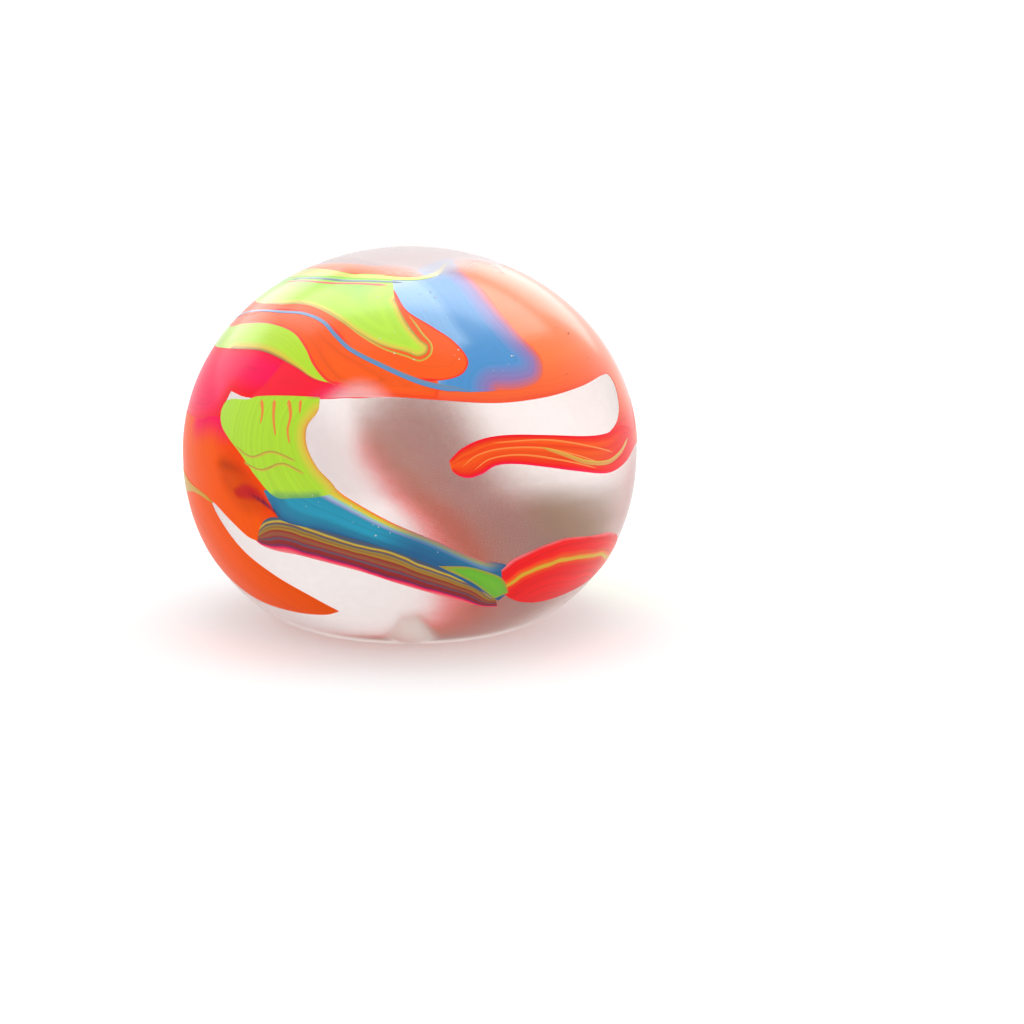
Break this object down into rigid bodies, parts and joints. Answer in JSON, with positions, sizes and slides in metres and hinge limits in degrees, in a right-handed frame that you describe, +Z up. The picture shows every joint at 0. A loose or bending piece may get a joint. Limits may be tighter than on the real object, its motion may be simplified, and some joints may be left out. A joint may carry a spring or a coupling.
{
  "type": "squishy ball",
  "caption": "Clear gel-filled squeeze ball with marbled paint swirls, sagging on to a flat foot; the crown presses down and springs back.",
  "frame": {"origin": "centre of the flat foot that the ball rests on", "axes": "+Z up through the crown, -Y towards the pictured front, +X to the right seen from the front"},
  "size_m": [0.0758, 0.0756, 0.0624],
  "materials": {
    "clear_skin": "clear elastic skin, glossy and a little hazy",
    "clear_gel": "clear soft gel",
    "plug_rubber": "milky soft plug",
    "clear_glue": "set glue, slightly yellow",
    "salmon_paint": "glossy elastic paint film",
    "veil_paint": "glossy elastic paint film",
    "lime_paint": "glossy elastic paint film",
    "leaf_paint": "glossy elastic paint film",
    "orange_paint": "glossy elastic paint film",
    "red_paint": "glossy elastic paint film",
    "blue_paint": "glossy elastic paint film",
    "teal_paint": "glossy elastic paint film",
    "magenta_paint": "glossy elastic paint film",
    "dark_red_paint": "glossy elastic paint film",
    "olive_paint": "glossy elastic paint film"
  },
  "bodies": {
    "base": {"lower_skin": "clear_skin", "gel_filling": "clear_gel", "fill_plug": "plug_rubber", "glue_bead": "clear_glue", "swirl_orange_flank": "orange_paint", "swirl_blue_ribbon": "teal_paint", "swirl_red_ribbon": "dark_red_paint", "swirl_orange_crescent": "orange_paint", "swirl_red_fringe": "red_paint", "swirl_back_green_drift": "lime_paint", "swirl_back_olive_patch": "olive_paint", "swirl_back_red_stripe": "red_paint", "swirl_back_blue_ribbon": "teal_paint"},
    "crown": {"upper_skin": "clear_skin", "swirl_crown_streak": "salmon_paint", "swirl_crown_veil": "veil_paint", "swirl_lime_stripe": "leaf_paint", "swirl_green_tongue": "lime_paint", "swirl_orange_loop": "orange_paint", "swirl_blue_flow": "blue_paint", "swirl_orange_sweep": "orange_paint", "swirl_orange_band": "orange_paint", "swirl_green_leaf": "leaf_paint", "swirl_magenta_cheek": "magenta_paint", "swirl_green_cheek": "lime_paint", "swirl_orange_tongue": "red_paint", "swirl_back_orange_wave": "orange_paint", "swirl_back_blue_drift": "blue_paint", "swirl_back_magenta_wave": "magenta_paint"}
  },
  "joints": [
    {"name": "squeeze", "type": "slide", "parent": "base", "child": "crown", "axis": [0, 0, -1], "range_m": [0, 0.025], "stiffness_N_per_m": 500, "springref_m": -0.003, "deforming": ["lower_skin", "gel_filling", "swirl_orange_flank", "swirl_blue_ribbon", "swirl_red_ribbon", "swirl_orange_crescent", "swirl_red_fringe", "swirl_back_green_drift", "swirl_back_olive_patch", "swirl_back_red_stripe", "swirl_back_blue_ribbon"]}
  ]
}
